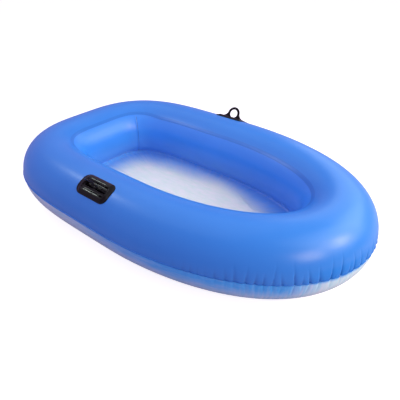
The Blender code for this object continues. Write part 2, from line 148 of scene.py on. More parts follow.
# Oarlock rings
RING_HOLE = 0.0176
RING_WALL = 0.0108
RING_CENTRE = 0.0221
RING_FLARE = 0.0295
RING_TURNS = 144
RING_SECTION = 24
ROOT_RADIUS = 0.003
ROOT_END_GAP = 0.0004
ROOT_AXIS = SEAT_GAP + BASE_THICKNESS + SEAT_GAP + ROOT_RADIUS
ROOT_LOW = ROOT_AXIS - ROOT_RADIUS
FLARE_FOOT = ROOT_AXIS - 0.6 * ROOT_RADIUS
# Half the ring's thickness: the web's, and what the bead round the eye and the foot add
WEB_HALF = 0.0023
BEAD_HALF = 0.0014
BEAD_WIDTH = 0.0065
FOOT_HALF = 0.0009
FOOT_WIDTH = 0.0045

# Valve
FLANGE_RADIUS = 0.020
FLANGE_THICKNESS = 0.0012
SLEEVE_BORE = 0.0066
SLEEVE_RADIUS = SLEEVE_BORE + 0.0012
SLEEVE_LENGTH = 0.014
HOLE_DEPTH = 0.03
STEM_RADIUS = 0.0063
STEM_BORE = 0.0045
STEM_END = -0.0275
COLLAR_BACK = 0.0015
COLLAR_FRONT = 0.0035
COLLAR_RADIUS = 0.0085
CAP_BACK = 0.0038
CAP_THICKNESS = 0.0016
PLUG_LENGTH = 0.005
HINGE_OFFSET = 0.013
STRAP_WIDTH = 0.006
STRAP_THICKNESS = 0.0011
STRAP_END = 0.0065
FLAP_RADIUS = 0.006
FLAP_THICKNESS = 0.0008
RUNNING_GAP = 0.0003
VALVE_TURNS = 64

# Camera, found from the boat's outline in the 400 by 400 photograph
IMAGE_SIZE = 400
CAMERA_AZIMUTH = math.radians(39.78)
CAMERA_ELEVATION = math.radians(30.05)
CAMERA_PLACE = (0.8855, -1.0637, 0.9202)
FOCAL_PIXELS = 422.06
AXIS_PIXEL = (189.03, 178.26)
SENSOR = 36.0

# Studio
LAMP_AIM = Vector((0.0, 0.0, 0.15))
LAMP_DISTANCE = 2.6
LAMP_TINT = (0.86, 1.0, 0.93)
WARM_TINT = (1.0, 0.8, 0.55)
SURROUND_TINT = (0.83, 0.58, 1.0)
SURROUND_STRENGTH = 0.55
PAPER_SIZE = 24.0
PAPER_LEVEL = -0.0004


# Nodes and materials

def linear(hex_colour):
    """sRGB hex to the linear values that Blender's sockets take."""
    parts = [int(hex_colour[i:i + 2], 16) / 255 for i in (1, 3, 5)]
    return [c / 12.92 if c <= 0.04045 else ((c + 0.055) / 1.055) ** 2.4 for c in parts] + [1.0]


def set_inputs(tree, node, inputs):
    """Set a node's inputs; each is a value, an output, or a node for its first output."""
    for name, value in inputs.items():
        if isinstance(value, bpy.types.Node):
            value = value.outputs[0]
        if isinstance(value, bpy.types.NodeSocket):
            tree.links.new(value, node.inputs[name])
        else:
            node.inputs[name].default_value = value


def add_node(tree, kind, inputs=None, **settings):
    """Add one node with its settings and inputs."""
    node = tree.nodes.new(kind)
    for name, value in settings.items():
        setattr(node, name, value)
    set_inputs(tree, node, inputs or {})
    return node


def start_material(name):
    """A material, its node tree and its Principled shader."""
    material = bpy.data.materials.new(name)
    material.use_nodes = True
    return material, material.node_tree, material.node_tree.nodes["Principled BSDF"]


def blue_film(name, lit, deep, weld, line):
    """Calendered PVC film: even colour with a faint cloudiness, a soft satin gloss and a
    very fine grain from the rollers. It is paler where two films are welded, and darker in
    lines at weld edges. The same two marks also carry painted light and painted shade: a
    painted highlight on a lapped edge, painted light low on the wall, and painted shade in
    the creases and beside a lapped edge."""
    material, tree, shader = start_material(name)
    place = add_node(tree, "ShaderNodeTexCoord").outputs["Object"]
    # Clouds about 120 mm across, as thickness varies over a rolled sheet
    clouds = add_node(tree, "ShaderNodeTexNoise", {"Vector": place, "Scale": 8.0, "Detail": 2.0})
    colour = add_node(
        tree, "ShaderNodeMix",
        {"Factor": clouds, 6: linear(deep), 7: linear(lit)}, data_type="RGBA",
    )
    # Two marks: a paler colour for welds, painted highlights and painted light, and a darker one
    # for lines at weld edges and painted shade
    for mark, paint in (("weld", weld), ("line", line)):
        share = add_node(tree, "ShaderNodeAttribute", attribute_name=mark).outputs["Fac"]
        colour = add_node(
            tree, "ShaderNodeMix",
            {"Factor": share, 6: colour.outputs[2], 7: linear(paint)}, data_type="RGBA",
        )
    # Gloss varies in patches of about 25 mm
    patches = add_node(tree, "ShaderNodeTexNoise", {"Vector": place, "Scale": 40.0, "Detail": 3.0})
    gloss = add_node(
        tree, "ShaderNodeMapRange", {"Value": patches, "To Min": 0.27, "To Max": 0.34},
    )
    # The stretched film beside the bow's weld has lost most of its gloss
    stretched = add_node(tree, "ShaderNodeAttribute", attribute_name="stretched").outputs["Fac"]
    shine = add_node(
        tree, "ShaderNodeMapRange", {"Value": stretched, "To Min": 0.5, "To Max": 0.12},
    )
    # Roller grain, drawn at 3 mm because the real 0.3 mm would not show
    grain = add_node(tree, "ShaderNodeTexNoise", {"Vector": place, "Scale": 330.0, "Detail": 2.0})
    bump = add_node(tree, "ShaderNodeBump", {"Height": grain, "Strength": 0.2, "Distance": 0.0002})
    set_inputs(tree, shader, {
        "Base Color": colour.outputs[2], "Roughness": gloss, "Specular IOR Level": shine,
        "IOR": 1.5, "Normal": bump,
    })
    return material


def clear_film(name, milky, streak, tint, alpha, stretch):
    """Clear calendered PVC: milky where it is stressed, glossy, with fine streaks that run
    out from its seam and along its length. A tint mark paints it blue; on the floor that
    blue is painted shade and blue light from the wall, where the film hangs clear of the ground."""
    material, tree, shader = start_material(name)
    film = add_node(tree, "ShaderNodeAttribute", attribute_name="film").outputs["Vector"]
    across = add_node(tree, "ShaderNodeMapping", {"Vector": film, "Scale": (1.0, 1.0, 0.12)})
    place = add_node(tree, "ShaderNodeTexCoord").outputs["Object"]
    along = add_node(tree, "ShaderNodeMapping", {"Vector": place, "Scale": stretch})
    # Gathers about 9 mm apart at the seam, flow streaks about 16 mm apart elsewhere
    gathers = add_node(
        tree, "ShaderNodeTexNoise",
        {"Vector": across, "Scale": 110.0, "Detail": 3.0, "Roughness": 0.6},
    )
    flow = add_node(
        tree, "ShaderNodeTexNoise",
        {"Vector": along, "Scale": 62.0, "Detail": 4.0, "Roughness": 0.55},
    )
    edge = add_node(tree, "ShaderNodeAttribute", attribute_name="edge").outputs["Fac"]
    streaks = add_node(tree, "ShaderNodeMix", {"Factor": edge, 2: flow, 3: gathers})
    contrast = add_node(
        tree, "ShaderNodeMapRange", {"Value": streaks, "From Min": 0.38, "From Max": 0.66},
    )
    colour = add_node(
        tree, "ShaderNodeMix",
        {"Factor": contrast, 6: linear(milky), 7: linear(streak)}, data_type="RGBA",
    )
    # The blue has a streaky edge of its own
    share = add_node(tree, "ShaderNodeAttribute", attribute_name="tint").outputs["Fac"]
    ragged = add_node(
        tree, "ShaderNodeMapRange", {"Value": streaks, "To Min": 1.25, "To Max": 0.75},
    )
    blue = add_node(
        tree, "ShaderNodeMath", {0: share, 1: ragged}, operation="MULTIPLY", use_clamp=True,
    )
    tinted = add_node(
        tree, "ShaderNodeMix",
        {"Factor": blue, 6: colour.outputs[2], 7: linear(tint)}, data_type="RGBA",
    )
    cover = add_node(tree, "ShaderNodeMapRange", {"Value": blue, "To Min": alpha, "To Max": 0.92})
    gloss = add_node(
        tree, "ShaderNodeMapRange", {"Value": streaks, "To Min": 0.12, "To Max": 0.30},
    )
    bump = add_node(
        tree, "ShaderNodeBump", {"Height": streaks, "Strength": 0.45, "Distance": 0.0010},
    )
    set_inputs(tree, shader, {
        "Base Color": tinted.outputs[2], "Alpha": cover, "Roughness": gloss, "IOR": 1.5,
        "Normal": bump,
    })
    return material


def moulded_vinyl(name, low, high, alpha, sheen):
    """Injection-moulded soft PVC: glossy, with slightly uneven faces from shrinkage that
    break up each reflection."""
    material, tree, shader = start_material(name)
    place = add_node(tree, "ShaderNodeTexCoord").outputs["Object"]
    # Sink marks about 9 mm apart
    sinks = add_node(tree, "ShaderNodeTexNoise", {"Vector": place, "Scale": 110.0, "Detail": 1.5})
    colour = add_node(
        tree, "ShaderNodeMix",
        {"Factor": sinks, 6: linear(low), 7: linear(high)}, data_type="RGBA",
    )
    gloss = add_node(tree, "ShaderNodeMapRange", {"Value": sinks, "To Min": 0.06, "To Max": 0.11})
    bump = add_node(
        tree, "ShaderNodeBump", {"Height": sinks, "Strength": 0.05, "Distance": 0.0010},
    )
    set_inputs(tree, shader, {
        "Base Color": colour.outputs[2], "Alpha": alpha, "Roughness": gloss,
        "Specular IOR Level": sheen, "Normal": bump,
    })
    return material


# Pieces

def link_object(name, data):
    """Put an object with its data into the scene."""
    obj = bpy.data.objects.new(name, data)
    bpy.context.scene.collection.objects.link(obj)
    return obj


def axes_at(place, x_axis, z_axis):
    """Matrix of local axes at a place; local Y follows from the two that are given."""
    turn = Matrix((x_axis, z_axis.cross(x_axis), z_axis)).transposed().to_4x4()
    return Matrix.Translation(place) @ turn


def finish_bmesh(bm, name, material, place, smooth_angle):
    """Turn a bmesh into an object whose place is in its mesh."""
    bmesh.ops.remove_doubles(bm, verts=bm.verts, dist=0.000002)
    bmesh.ops.recalc_face_normals(bm, faces=bm.faces)
    mesh = bpy.data.meshes.new(name)
    bm.to_mesh(mesh)
    bm.free()
    mesh.transform(place)
    mesh.materials.append(material)
    mesh.shade_smooth()
    mesh.set_sharp_from_angle(angle=math.radians(smooth_angle))
    return link_object(name, mesh)


def dress(piece, body, slot_name, *nodes):
    """Let a piece ride a body and stand in for its solids."""
    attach(piece, body)
    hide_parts(*nodes)


# Plan curve of the cockpit and stations along it

def plan_curve(angles):
    """Points and outward normals of the cockpit's plan curve at polar angles."""
    cosine, sine = np.cos(angles), np.sin(angles)
    power = np.where(cosine > 0, BOW_ROUNDNESS, STERN_SQUARENESS)
    across = np.abs(sine / COCKPIT_WIDTH) ** power
    reach = (np.abs(cosine / COCKPIT_LENGTH) ** power + across) ** (-1 / power)
    x, y = reach * cosine, reach * sine
    slope_x = np.sign(x) * np.abs(x / COCKPIT_LENGTH) ** (power - 1) / COCKPIT_LENGTH
    slope_y = np.sign(y) * np.abs(y / COCKPIT_WIDTH) ** (power - 1) / COCKPIT_WIDTH
    normals = np.stack((slope_x, slope_y), 1)
    return np.stack((x, y), 1), normals / np.linalg.norm(normals, axis=1)[:, None]


class Stations:
    """Places along the boat's plan curve, closer together where the boat bends."""

    def __init__(self, count, crowding):
        angles = np.linspace(0.0, 2 * math.pi, CURVE_SAMPLES + 1)
        points, normals = plan_curve(angles)
        outer = points + normals * 2 * TUBE_RADIUS
        steps = np.linalg.norm(np.diff(outer, axis=0), axis=1)
        run = np.concatenate(([0.0], np.cumsum(steps)))
        turn = np.linalg.norm(np.diff(normals, axis=0), axis=1) / steps
        margin = BEND_SAMPLES // 2
        round_again = np.concatenate((turn[-margin:], turn, turn[:margin]))
        window = np.ones(BEND_SAMPLES) / BEND_SAMPLES
        bend = np.convolve(round_again, window, "same")[margin:-margin]
        weight = np.concatenate(([0.0], np.cumsum(steps * (1 + crowding * bend))))
        wanted = np.linspace(0.0, weight[-1], count + 1)[:-1]
        self.angles = np.interp(wanted, weight, angles)
        self.points, self.normals = plan_curve(self.angles)
        self.run = np.interp(self.angles, angles, run)
        self.length = run[-1]
        self.bend = np.interp(self.angles, angles[1:], bend)

    def centre_line(self):
        """The tube's centre line."""
        flat = self.points + self.normals * TUBE_RADIUS
        return np.column_stack((flat, np.full(len(flat), TUBE_CENTRE)))


# Swept films: one tree makes each film from the tube's centre line

def build_sweep_tree():
    """Geometry Nodes: sweep a circular section round the boat. Below angle 0 the section
    runs straight outwards, as the flat edge of the outer weld."""
    tree = bpy.data.node_groups.new("Swept film", "GeometryNodeTree")
    sockets = [("Path", "Geometry"), ("Steps", "Int"), ("Film", "Material")]
    for name in ("Radius", "First angle", "Last angle", "Crowding", "Side", "Ground"):
        sockets.append((name, "Float"))
    for name, kind in sockets:
        tree.interface.new_socket(name, in_out="INPUT", socket_type="NodeSocket" + kind)
    tree.interface.new_socket("Geometry", in_out="OUTPUT", socket_type="NodeSocketGeometry")
    given = add_node(tree, "NodeGroupInput").outputs
    line = add_node(tree, "GeometryNodeCurvePrimitiveLine", {"End": (1, 0, 0)})
    count = add_node(tree, "ShaderNodeMath", {0: given["Steps"], 1: 1.0}, operation="ADD")
    profile = add_node(
        tree, "GeometryNodeResampleCurve", {"Curve": line, "Count": count}, mode="COUNT",
    )
    factor = add_node(tree, "GeometryNodeSplineParameter").outputs["Factor"]
    crowded = add_node(
        tree, "ShaderNodeMath", {0: factor, 1: given["Crowding"]}, operation="POWER",
    )
    angle = add_node(
        tree, "ShaderNodeMapRange",
        {"Value": crowded, "To Min": given["First angle"], "To Max": given["Last angle"]},
    )
    turned = add_node(tree, "ShaderNodeMath", {0: angle, 1: 0.0}, operation="MAXIMUM")
    lip = add_node(tree, "ShaderNodeMath", {0: turned, 1: angle}, operation="SUBTRACT")
    cosine = add_node(tree, "ShaderNodeMath", {0: turned}, operation="COSINE")
    sine = add_node(tree, "ShaderNodeMath", {0: turned}, operation="SINE")
    reach = add_node(tree, "ShaderNodeMath", {0: cosine, 1: lip}, operation="ADD")
    radius = given["Radius"]
    out = add_node(tree, "ShaderNodeMath", {0: reach, 1: radius}, operation="MULTIPLY")
    rise = add_node(tree, "ShaderNodeMath", {0: sine, 1: radius}, operation="MULTIPLY")
    up = add_node(tree, "ShaderNodeMath", {0: rise, 1: given["Side"]}, operation="MULTIPLY")
    # The tube lies flat where it meets the ground
    level = add_node(tree, "ShaderNodeMath", {0: up, 1: given["Ground"]}, operation="MAXIMUM")
    # A profile's Y points down on a path that runs counter-clockwise
    down = add_node(tree, "ShaderNodeMath", {0: level, 1: -1.0}, operation="MULTIPLY")
    place = add_node(tree, "ShaderNodeCombineXYZ", {"X": out, "Y": down})
    # The angle is kept before the profile is bent, because bending changes its length
    marked = add_node(
        tree, "GeometryNodeStoreNamedAttribute",
        {"Geometry": profile, "Name": "around", "Value": angle},
        data_type="FLOAT", domain="POINT",
    )
    bent = add_node(tree, "GeometryNodeSetPosition", {"Geometry": marked, "Position": place})
    path = add_node(tree, "GeometryNodeMeshToCurve", {"Mesh": given["Path"]})
    upright = add_node(tree, "GeometryNodeSetCurveNormal", {"Curve": path}, mode="Z_UP")
    swept = add_node(tree, "GeometryNodeCurveToMesh", {"Curve": upright, "Profile Curve": bent})
    real = add_node(tree, "GeometryNodeRealizeInstances", {"Geometry": swept})
    coated = add_node(
        tree, "GeometryNodeSetMaterial", {"Geometry": real, "Material": given["Film"]},
    )
    add_node(tree, "NodeGroupOutput", {"Geometry": coated})
    return tree


SWEEP_TREE = build_sweep_tree()


def swept_film(name, stations, material, sizes):
    """Sweep one film, and return its object, its grid of points, stations by steps, and
    each point's angle round the tube."""
    line = stations.centre_line()
    count = len(line)
    path = bpy.data.meshes.new(name)
    path.from_pydata(line.tolist(), [(i, (i + 1) % count) for i in range(count)], [])
    obj = link_object(name, path)
    sweep = obj.modifiers.new("Sweep", "NODES")
    sweep.node_group = SWEEP_TREE
    values = {"Film": material, "Side": 1.0, "Crowding": 1.0, "Ground": -1.0, **sizes}
    for item in SWEEP_TREE.interface.items_tree:
        if item.in_out == "INPUT" and item.name in values:
            sweep[item.identifier] = values[item.name]
    solid = obj.evaluated_get(bpy.context.evaluated_depsgraph_get())
    mesh = bpy.data.meshes.new_from_object(solid)
    obj.modifiers.remove(sweep)
    obj.data = mesh
    places = np.empty(len(mesh.vertices) * 3, np.float32)
    mesh.vertices.foreach_get("co", places)
    angle = np.empty(len(mesh.vertices), np.float32)
    mesh.attributes["around"].data.foreach_get("value", angle)
    steps = sizes["Steps"] + 1
    return obj, places.reshape(count, steps, 3).astype(float), angle.reshape(count, steps)


def smooth_step(values, low, high):
    """0 up to the low value and 1 from the high one, with a smooth rise between them."""
    share = np.clip((values - low) / (high - low), 0.0, 1.0)
    return share * share * (3 - 2 * share)


def finish_film(obj, stations, places, distance, thickness=FILM, flip=True, **marks):
    """Write a film's moved points and its marks, and thicken it inwards. The attribute
    film keeps the places on the film laid flat, round a circle as long as the seam."""
    turn = 2 * math.pi * stations.run[:, None] / stations.length * np.ones(distance.shape)
    radius = stations.length / (2 * math.pi)
    laid_flat = np.stack((radius * np.cos(turn), radius * np.sin(turn), distance), 2)
    mesh = obj.data
    mesh.vertices.foreach_set("co", places.reshape(-1).astype(np.float32))
    flat = mesh.attributes.new("film", "FLOAT_VECTOR", "POINT")
    flat.data.foreach_set("vector", laid_flat.reshape(-1).astype(np.float32))
    for name, share in marks.items():
        mark = mesh.attributes.new(name, "FLOAT", "POINT")
        mark.data.foreach_set("value", share.reshape(-1).astype(np.float32))
    if flip:
        mesh.flip_normals()
    mesh.update()
    mesh.shade_smooth()
    # The film's cut edges stay crisp, so that its face is not shaded round them
    corners = np.empty(len(mesh.loops), np.int32)
    mesh.loops.foreach_get("edge_index", corners)
    cut = np.bincount(corners, minlength=len(mesh.edges)) == 1
    crisp = mesh.attributes.new("sharp_edge", "BOOLEAN", "EDGE")
    crisp.data.foreach_set("value", cut)
    solid = obj.modifiers.new("Film thickness", "SOLIDIFY")
    solid.thickness = thickness
    solid.offset = -1.0


# Creases

class Creases:
    """Creases across the outer seam, where the film is longer than the bent seam."""

    def __init__(self, stations, spacing, strength, seed):
        rng = np.random.default_rng(seed)
        order = np.argsort(stations.run)
        run, strength = stations.run[order], strength[order]
        places = []
        place = 0.0
        while place < stations.length - spacing * 0.7:
            places.append(place)
            place += spacing * rng.uniform(0.75, 1.3)
        self.places = np.array(places)
        self.length = stations.length
        self.strength = np.interp(self.places, run, strength)
        self.depth_share = self.strength * rng.uniform(0.55, 1.2, len(places))
        self.reach_share = (0.55 + 0.45 * self.strength) * rng.uniform(0.5, 1.4, len(places))
        self.lean = rng.normal(0.0, 0.12, len(places))
        self.softness = (1.9 - 0.9 * self.strength) * rng.uniform(0.8, 1.2, len(places))

    def groove(self, run, distance, depth, width, reach):
        """Depth of the creases at places along the seam and distances up the film. One side
        of each is steep and the other gentle, as a pleat lies over."""
        total = np.zeros(distance.shape)
        for i, place in enumerate(self.places):
            if self.depth_share[i] < 0.02:
                continue
            offset = (run - place + self.length / 2) % self.length - self.length / 2
            near = np.abs(offset) < WIDEST_CREASE
            up = distance[near]
            share = np.clip(up / (reach * self.reach_share[i]), 0.0, 1.0)
            fade = (1 - share) ** 1.5
            away = offset[near][:, None] - self.lean[i] * up
            wide = width * self.softness[i] * (0.35 + 0.65 * fade) * np.where(away > 0, 1.5, 0.5)
            total[near] += depth * self.depth_share[i] * fade * np.exp(-np.abs(away) / wide)
        return total


# Hull films

def away_from_tube(stations, angle):
    """Unit vectors away from the tube's centre line, for each point of a film's grid."""
    out = np.column_stack((stations.normals, np.zeros(len(stations.normals))))[:, None, :]
    turned = np.maximum(angle, 0.0)[..., None]
    return np.cos(turned) * out + np.sin(turned) * np.array((0.0, 0.0, 1.0))


def seam_shift(stations, angle, raised):
    """How far a film's points move when their angles round the tube change."""
    return TUBE_RADIUS * (away_from_tube(stations, raised) - away_from_tube(stations, angle))


def stern_share(stations):
    """0 along the sides and the bow, 1 across the stern."""
    return smooth_step(-stations.points[:, :1], 0.33, 0.435)


def bow_share(stations):
    """0 across the stern and along the sides, 1 round the bow."""
    return smooth_step(stations.points[:, :1], 0.12, 0.28)


def outer_grooves(stations, creases, ribs, distance):
    """Depth of both sets of creases over a film that starts at the outer seam."""
    deep = creases.groove(stations.run, distance, CREASE_DEPTH, CREASE_WIDTH, CREASE_LENGTH)
    return deep + ribs.groove(stations.run, distance, RIB_DEPTH, RIB_WIDTH, RIB_LENGTH)


def make_top_film(stations, creases, ribs, material):
    """Blue film from the outer weld over the top to the inner seam."""
    obj, places, angle = swept_film(
        "hull_top_film", stations, material,
        {"Radius": TUBE_RADIUS, "First angle": -WELD_EDGE / TUBE_RADIUS,
         "Last angle": TOP_FILM_END, "Crowding": 1.6, "Steps": 34},
    )
    climb = SEAM_RISE_AT_STERN * stern_share(stations)
    raised = angle - climb * smooth_step(angle, SEAM_RISE_START, TOP_FILM_END)
    places += seam_shift(stations, angle, raised)
    distance = np.maximum(angle, 0.0) * TUBE_RADIUS
    bow = bow_share(stations)
    pillow = PILLOW * bow * np.exp(-distance / PILLOW_REACH) * (distance > 0)
    grooves = outer_grooves(stations, creases, ribs, distance)
    places += away_from_tube(stations, raised) * (pillow - grooves)[..., None]
    places[..., 2] += (WELD_GAP / 2 + FILM) * np.exp(-distance / LIP_REACH)
    weld = (1 - smooth_step(distance, WELD_WIDTH - 0.0015, WELD_WIDTH)) * (angle > 0)
    # It is darker beside the weld and at the cut edge, and painted shade darkens it in the creases
    line = 0.12 * np.exp(-((distance - WELD_WIDTH - 0.001) / 0.0012) ** 2)
    line += (0.2 + 0.3 * bow) * (angle <= 0)
    line += 0.8 * np.clip(grooves / CREASE_DEPTH, 0, 1)
    stretched = smooth_step(stations.points[:, :1], 0.405, 0.432)
    stretched = stretched * (1 - smooth_step(distance, 0.025, 0.045))
    finish_film(obj, stations, places, distance, weld=weld, line=line, stretched=stretched)
    return obj


def make_inner_weld(stations, material):
    """Band where the top film is welded onto the wall film."""
    middle = TOP_SEAM - 0.5 * TOP_LAP / TUBE_RADIUS
    half = 0.5 * TOP_LAP / TUBE_RADIUS + INNER_WELD_FADE
    obj, places, angle = swept_film(
        "hull_inner_weld", stations, material,
        {"Radius": TUBE_RADIUS, "First angle": middle - half, "Last angle": middle + half,
         "Steps": 14},
    )
    raised = angle - SEAM_RISE_AT_STERN * stern_share(stations)
    places += seam_shift(stations, angle, raised)
    share = (angle - middle) / half
    rise = INNER_WELD_RISE * (1 - smooth_step(np.abs(share), 0.4, 1.0)) - INNER_WELD_SINK
    places += away_from_tube(stations, raised) * rise[..., None]
    weld = 0.3 * np.exp(-((share - 0.85) / 0.14) ** 2)
    line = 0.3 * np.exp(-((share + 0.9) / 0.10) ** 2)
    finish_film(obj, stations, places, angle * TUBE_RADIUS, 2 * FILM, weld=weld, line=line)
    return obj


def make_wall_band(stations, material, valve_place):
    """Blue inner wall of the cockpit, with its upright lap at the far stern corner and the
    hole for the valve."""
    obj, places, angle = swept_film(
        "hull_wall_band", stations, material,
        {"Radius": TUBE_RADIUS - FILM - WELD_GAP,
         "First angle": TOP_SEAM - TOP_LAP / TUBE_RADIUS - SEAM_RISE_AT_STERN,
         "Last angle": 2 * math.pi - FLOOR_SEAM + FLOOR_LAP / TUBE_RADIUS, "Steps": 32},
    )
    # The stern strip ends over the side strip where the corner turns, at a wavering edge
    corner = np.argmin(np.abs(stations.angles - math.atan2(LAP_PLACE[1], LAP_PLACE[0])))
    past = (stations.run - stations.run[corner])[:, None] + LAP_WAVER * np.sin(angle * 2.2)
    rise = LAP_RISE * smooth_step(past, -0.0012, 0.0006)
    rise = rise * (1 - smooth_step(past, 0.004, LAP_WIDTH))
    rise -= 0.6 * LAP_RISE * np.exp(-((past + 0.003) / 0.0022) ** 2)
    below_weld = angle + SEAM_RISE_AT_STERN * stern_share(stations) - TOP_SEAM
    shown = smooth_step(below_weld, 0.06, 0.14)
    places += away_from_tube(stations, angle) * (rise * shown)[..., None]
    # Painted shade in the valley beside the lapped edge, and a painted highlight on the edge
    # itself that fades out low on the wall
    line = shown * np.exp(-((past + 0.0022) / 0.0034) ** 2)
    weld = shown * np.exp(-((past - 0.0020) / 0.0026) ** 2)
    weld = weld * (1 - smooth_step(angle, 2.7, 3.0))
    # Painted light: the film is paler where it faces down and towards its foot, standing in for
    # light that comes through it from the tube
    foot = (angle - angle[:, -1:]) * TUBE_RADIUS
    pale = 0.45 * smooth_step(angle, math.pi, math.pi + 0.8)
    pale += 0.55 * smooth_step(foot, -0.035, -0.010)
    weld = np.maximum(weld, pale)
    finish_film(obj, stations, places, angle * TUBE_RADIUS, weld=weld, line=line)
    cut_valve_hole(obj, valve_place)
    return obj


def cut_valve_hole(obj, valve_place):
    """Take out the wall's faces behind the valve's flange, where its sleeve goes through."""
    shell = bmesh.new()
    shell.from_mesh(obj.data)
    to_valve = valve_place.inverted()
    hole = []
    for face in shell.faces:
        middle = to_valve @ face.calc_center_median()
        if math.hypot(*middle.xy) < SLEEVE_RADIUS and abs(middle.z) < HOLE_DEPTH:
            hole.append(face)
    bmesh.ops.delete(shell, geom=hole, context="FACES")
    shell.to_mesh(obj.data)
    shell.free()


def make_underside(stations, creases, ribs, material):
    """Clear film from the outer weld under the tube to the floor's seam."""
    obj, places, angle = swept_film(
        "hull_underside_film", stations, material,
        {"Radius": TUBE_RADIUS, "First angle": -WELD_EDGE / TUBE_RADIUS,
         "Last angle": FLOOR_SEAM, "Crowding": 1.35, "Steps": 30, "Side": -1.0,
         "Ground": -TUBE_CENTRE},
    )
    distance = np.maximum(angle, 0.0) * TUBE_RADIUS
    grooves = outer_grooves(stations, creases, ribs, distance)
    radial = away_from_tube(stations, angle)
    radial[..., 2] *= -1
    places -= radial * grooves[..., None]
    places[..., 2] -= (WELD_GAP / 2 + FILM) * np.exp(-distance / LIP_REACH)
    places[..., 2] = np.maximum(places[..., 2], GROUND_GAP)
    # It is blue along its seam and forward of the middle, and pale astern and at the bow
    x = stations.points[:, :1]
    pale = smooth_step(x, 0.393, 0.434)
    pale = pale + 0.75 * smooth_step(-x, -0.22, 0.20) + 0.2 * smooth_step(-x, 0.20, 0.40)
    tint = (1 - 0.58 * smooth_step(distance, 0.010, 0.075)) * (1 - 0.9 * pale)
    seam_band = 0.006 + 0.004 * smooth_step(x, 0.12, 0.28)
    tint = np.maximum(tint, np.exp(-(distance / seam_band) ** 2))
    gathered = (0.05 + 0.8 * smooth_step(x, 0.28, 0.39)) * np.ones(tint.shape)
    finish_film(obj, stations, places, distance, flip=False, tint=tint, edge=gathered)
    return obj


# Floor

def floor_height(depth):
    """Height of the floor at a distance inwards from its seam."""
    seam = TUBE_CENTRE - TUBE_RADIUS * math.sin(FLOOR_SEAM)
    share = np.clip(depth / FLOOR_SLOPE, 0.0, 1.0)
    return seam + (FLOOR_HEIGHT - seam) * (0.5 - 0.5 * np.cos(math.pi * share))


def fold_rise(x, y):
    """One long soft fold that the film has kept from its packing."""
    start, end = Vector(FOLD_START), Vector(FOLD_END)
    along = (end - start).normalized()
    offset = Vector((x, y)) - start
    past_middle = offset.dot(along) - (end - start).length / 2
    share = math.exp(-(past_middle / FOLD_REACH) ** 2)
    return FOLD_HEIGHT * share * math.exp(-abs(offset.cross(along)) / FOLD_WIDTH)


def floor_places(stations):
    """The floor film's grid of points, stations by rings, and each point's distance
    inwards from the seam. All points of the last ring are the one in the middle."""
    seam_out = TUBE_RADIUS * (1 + math.cos(FLOOR_SEAM))
    count = len(stations.run)
    share = 1 - np.arange(FLOOR_RINGS + 1) / FLOOR_RINGS
    flat = stations.points[:, None, :] * share[None, :, None]
    flat = flat + stations.normals[:, None, :] * (seam_out * share ** 2)[None, :, None]
    depth = (COCKPIT_WIDTH + seam_out) * (1 - share)[None, :] * np.ones((count, 1))
    height = floor_height(depth)
    # The film is welded a little way up the wall, and hangs straight down from there
    radius = TUBE_RADIUS - HANG_INSIDE
    out = TUBE_RADIUS - radius * math.cos(FLOOR_HANG)
    flat[:, 0] = stations.points + stations.normals * out
    height[:, 0] = TUBE_CENTRE - radius * math.sin(FLOOR_HANG)
    flat[:, 1] = 0.5 * (flat[:, 0] + flat[:, 2])
    height[:, 1] = 0.3 * height[:, 0] + 0.7 * height[:, 2]
    gathered = np.exp(-depth / GATHER_REACH) * smooth_step(depth, 0.0, 0.012)
    for i in range(count):
        for j in range(1, FLOOR_RINGS + 1):
            x, y = flat[i, j]
            gathers = noise.noise(Vector((stations.run[i] * 45, depth[i, j] * 6, 0.3)))
            wrinkles = noise.noise(Vector((x * 22, y * 55, 1.7)))
            waves = noise.noise(Vector((x * 7 + y * 5, y * 16 - x * 4, 4.1)))
            slack = min(depth[i, j] / SLACK_REACH, 1.0)
            rise = WRINKLE_HEIGHT * abs(wrinkles) + WAVE_HEIGHT * abs(waves) + fold_rise(x, y)
            height[i, j] += GATHER_HEIGHT * gathers * gathered[i, j] + rise * slack
    return np.concatenate((flat, height[..., None]), axis=2), depth


def make_floor(stations, material):
    """Slack clear floor film: fine wrinkles, gathers round its seam and a long fold."""
    places, depth = floor_places(stations)
    count, rings = depth.shape
    faces = []
    for i in range(count):
        here, after = i * rings, (i + 1) % count * rings
        for j in range(rings - 2):
            faces.append((here + j, after + j, after + j + 1, here + j + 1))
        faces.append((here + rings - 2, after + rings - 2, rings - 1))
    mesh = bpy.data.meshes.new("cockpit_floor_film")
    mesh.from_pydata(places.reshape(-1, 3).tolist(), [], faces)
    mesh.materials.append(material)
    obj = link_object("cockpit_floor_film", mesh)
    x = stations.points[:, :1]
    full, gone = np.interp(x, TINT_AT_X, TINT_FULL), np.interp(x, TINT_AT_X, TINT_GONE)
    # Painted shade and blue light from the wall near the seam, where the film hangs clear of the
    # ground
    tint = 0.97 * (1 - smooth_step(depth, full, gone))
    edge = np.exp(-depth / GATHER_REACH)
    finish_film(obj, stations, places, depth, flip=False, tint=tint, edge=edge)
    return obj


# Oarlocks

def oarlock_frame(node, side):
    """Local axes of an oarlock: Z points away from the tube's centre line."""
    low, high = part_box(node)
    x = (low.x + high.x) / 2
    power = BOW_ROUNDNESS if x > 0 else STERN_SQUARENESS
    edge = COCKPIT_WIDTH * (1 - abs(x / COCKPIT_LENGTH) ** power) ** (1 / power)
    centre = Vector((x, side * (edge + TUBE_RADIUS), TUBE_CENTRE))
    outward = Vector((0.0, side * math.sin(OARLOCK_TILT), math.cos(OARLOCK_TILT)))
    return axes_at(centre + outward * TUBE_RADIUS, Vector((1, 0, 0)), outward)


